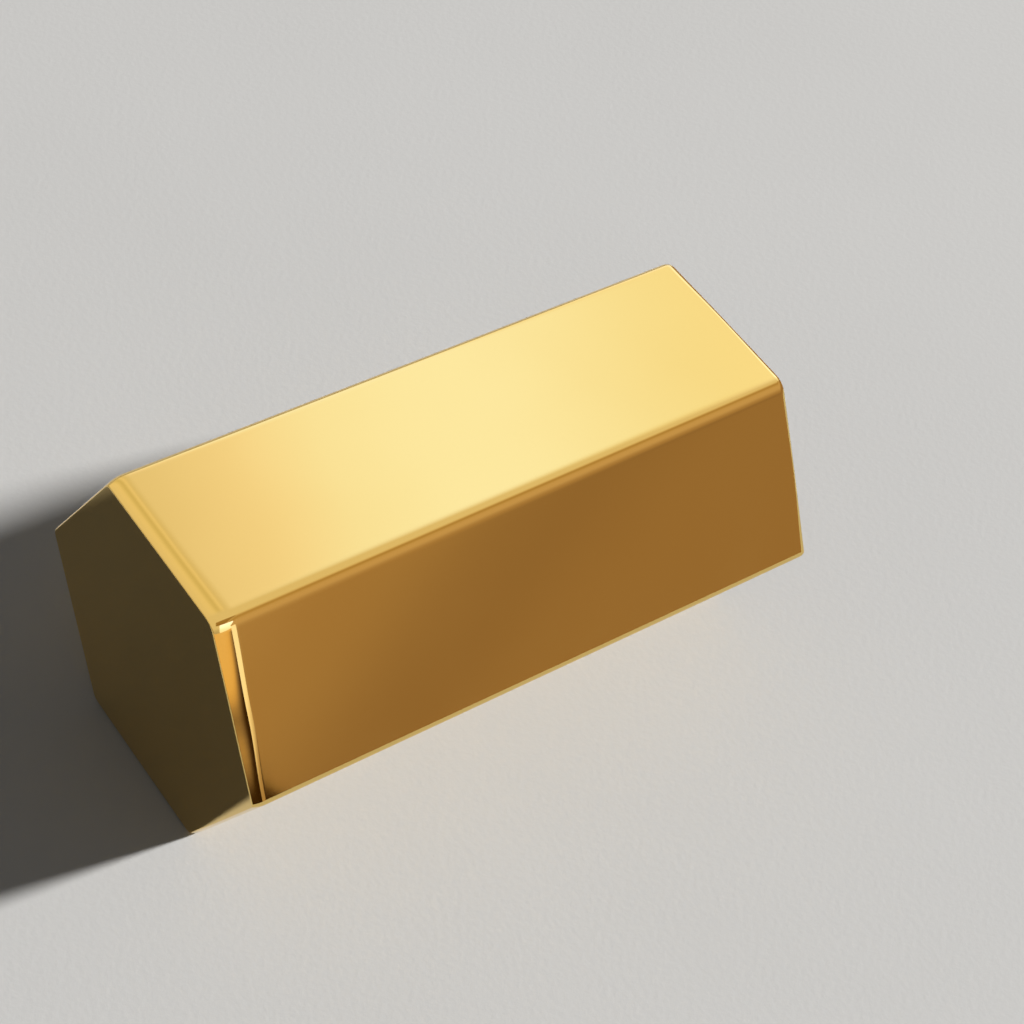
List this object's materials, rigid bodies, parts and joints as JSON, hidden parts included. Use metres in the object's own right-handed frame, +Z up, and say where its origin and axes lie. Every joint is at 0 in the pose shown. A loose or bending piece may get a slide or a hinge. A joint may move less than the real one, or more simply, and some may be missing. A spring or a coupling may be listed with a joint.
{
  "type": "pen holder",
  "caption": "Hexagonal polished brass pen holder lying on its side: a drawn tube with rounded corners, open at the mouth and closed at the base end by a soldered plate.",
  "frame": {"origin": "on the surface under the holder, below the middle of its length and width, as it lies on one flat", "axes": "+X along the sleeve from the closed base end to the open mouth, +Z up from the surface that it lies on, +Y across its side corners"},
  "size_m": [0.104, 0.0598, 0.0525],
  "materials": {
    "sleeve_brass": "mirror polished outside, drawn and dull inside",
    "plate_brass": "mirror polished outside, satin inside",
    "solder": "as cast, slightly paler than the brass"
  },
  "bodies": {
    "root": {"hex_sleeve": "sleeve_brass", "base_plate": "plate_brass", "solder_seam": "solder"}
  },
  "joints": []
}
